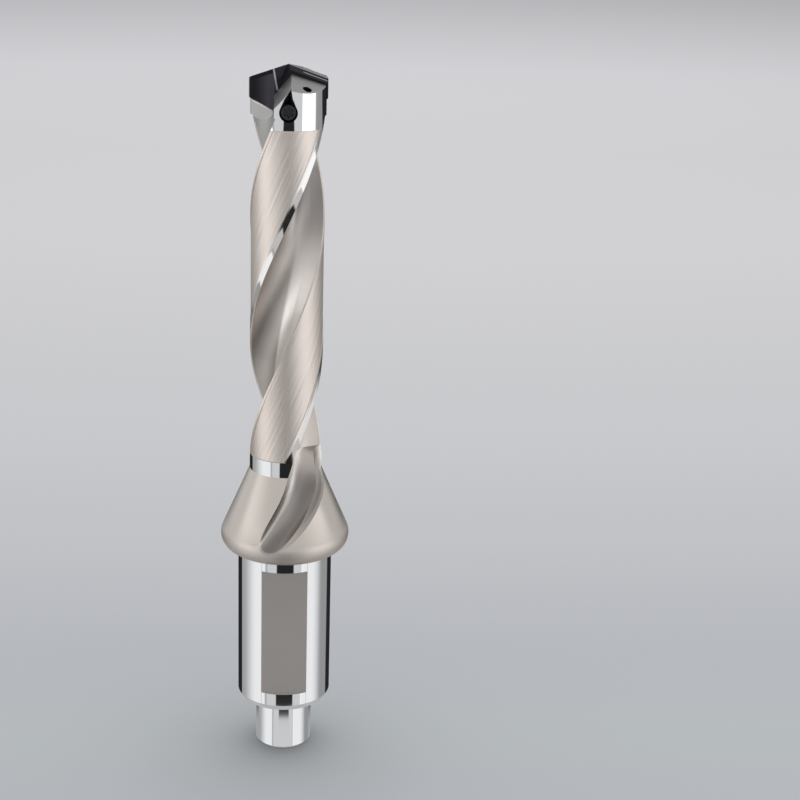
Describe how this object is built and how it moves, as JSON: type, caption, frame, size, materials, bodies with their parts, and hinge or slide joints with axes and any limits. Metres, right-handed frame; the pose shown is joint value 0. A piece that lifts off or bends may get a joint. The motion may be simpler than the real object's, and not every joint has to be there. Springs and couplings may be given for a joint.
{
  "type": "indexable drill",
  "caption": "Steel drill with helical flutes, an exchangeable carbide tip clamped by a cross screw, a conical flange and a cylindrical shank with a side-lock flat.",
  "frame": {"origin": "centre of the rear end of the spigot, on the drill's axis", "axes": "+Z along the axis from the shank to the point; -Y towards the shank flat and the clamp screw's head; +X along the insert's right half"},
  "size_m": [0.0438, 0.0438, 0.2389],
  "materials": {
    "tool_steel": "satin",
    "coated_carbide": "satin",
    "screw_steel": "satin"
  },
  "bodies": {
    "root": {"drill_body": "tool_steel", "cutting_insert": "coated_carbide", "clamp_screw": "screw_steel"}
  },
  "joints": []
}
